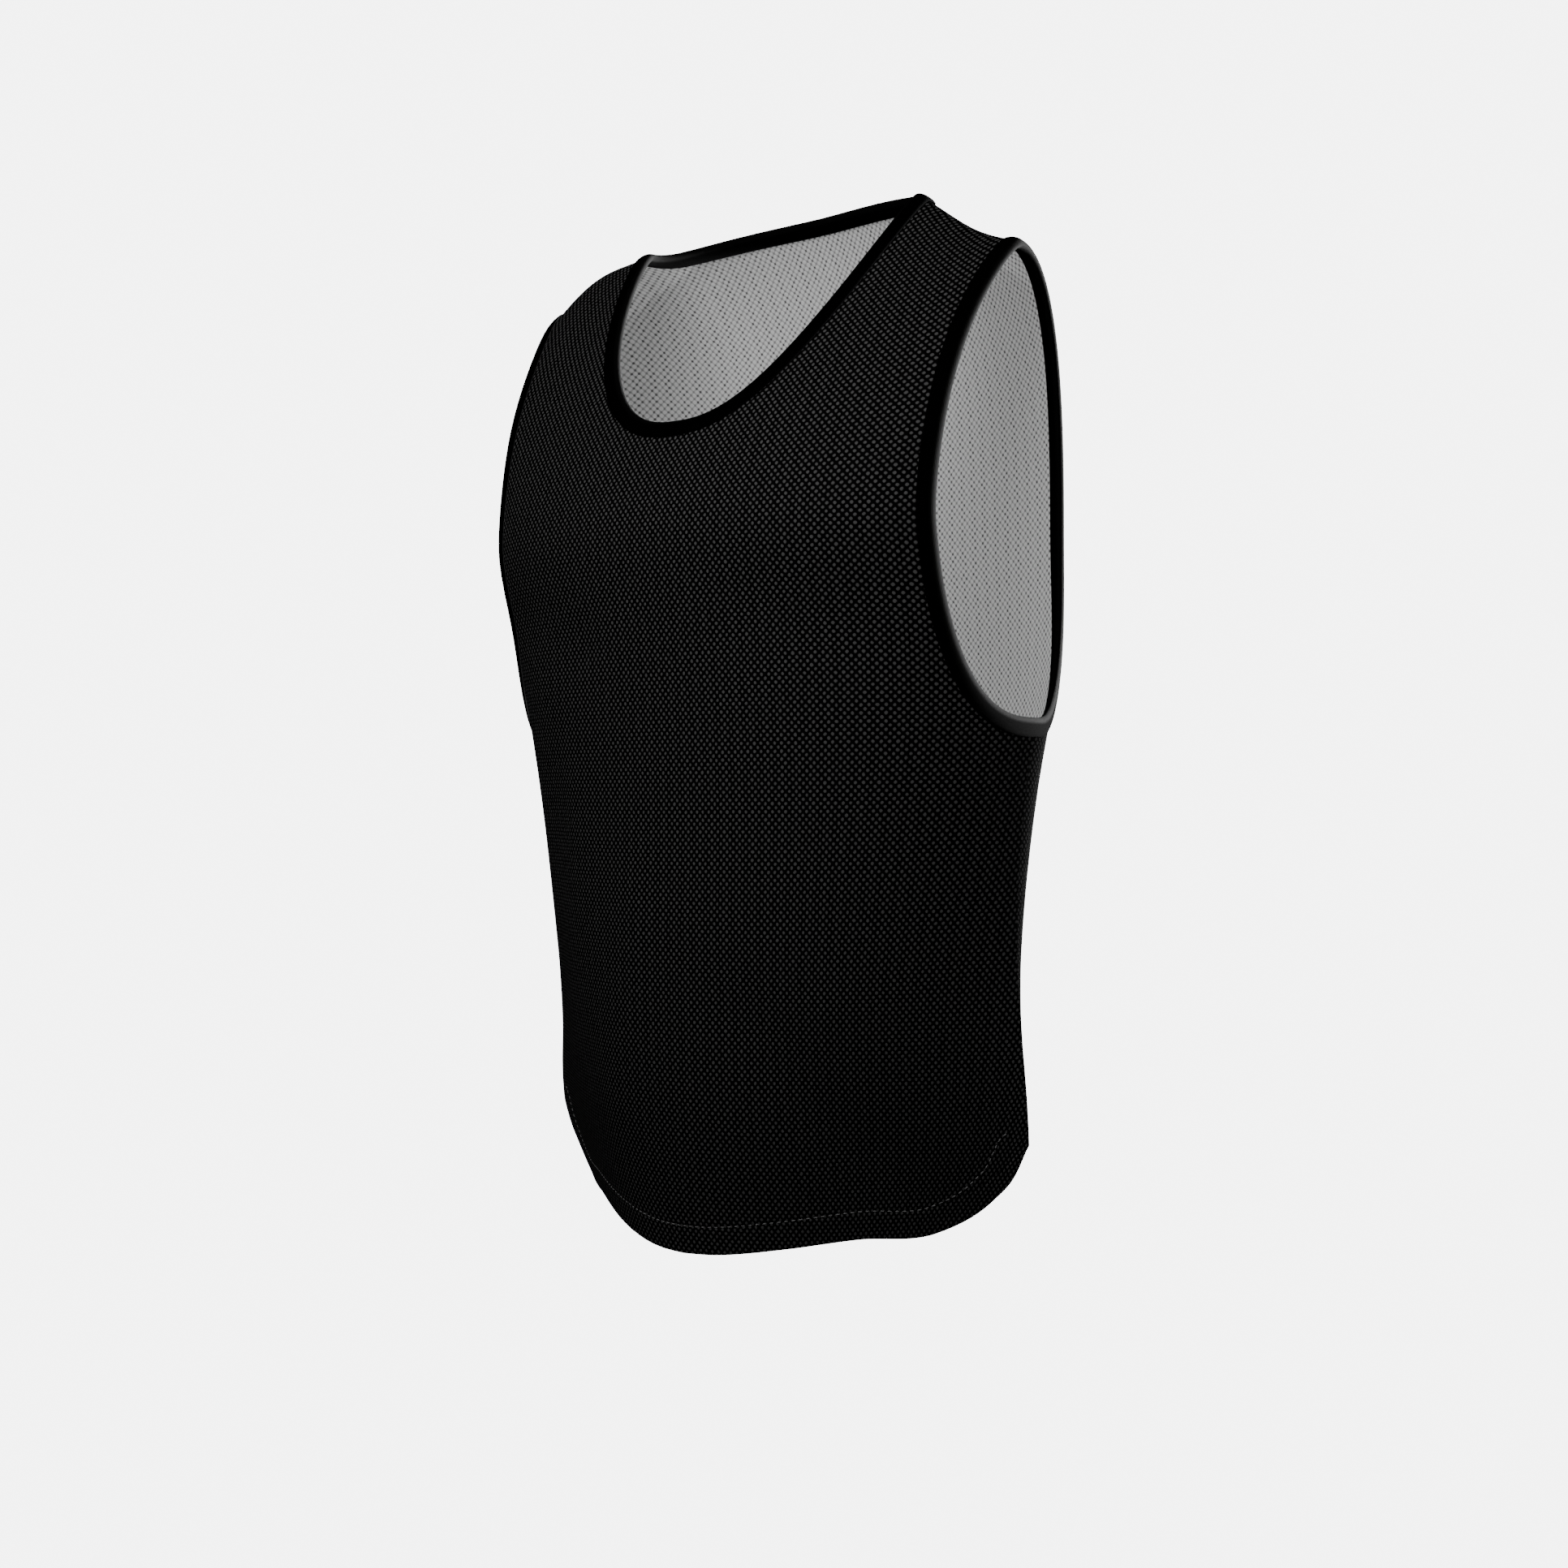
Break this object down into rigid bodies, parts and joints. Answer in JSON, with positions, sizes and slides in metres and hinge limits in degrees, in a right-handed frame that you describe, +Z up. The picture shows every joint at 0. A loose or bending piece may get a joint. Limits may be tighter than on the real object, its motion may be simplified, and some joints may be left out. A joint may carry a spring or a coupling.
{
  "type": "reversible training bib",
  "caption": "Sleeveless training bib of fine mesh, dark outside and light inside, with bound neck and armholes and a curved hem, filled out hollow.",
  "frame": {"origin": "midway between the neck ends of the two shoulder seams, where a pair of shoulders holds the bib up", "axes": "+Z up, -Y out of the front panel, +X to the wearer's left"},
  "size_m": [0.393, 0.2619, 0.6837],
  "materials": {
    "black_mesh": "fine black knitted mesh, soft sheen",
    "white_mesh": "fine off-white knitted mesh, matt",
    "black_tape": "smooth black knitted tape, soft sheen"
  },
  "bodies": {
    "root": {"outer_front": "black_mesh", "outer_back": "black_mesh", "inner_front": "white_mesh", "inner_back": "white_mesh", "neck_binding": "black_tape", "left_armhole_binding": "black_tape", "right_armhole_binding": "black_tape"}
  },
  "joints": []
}
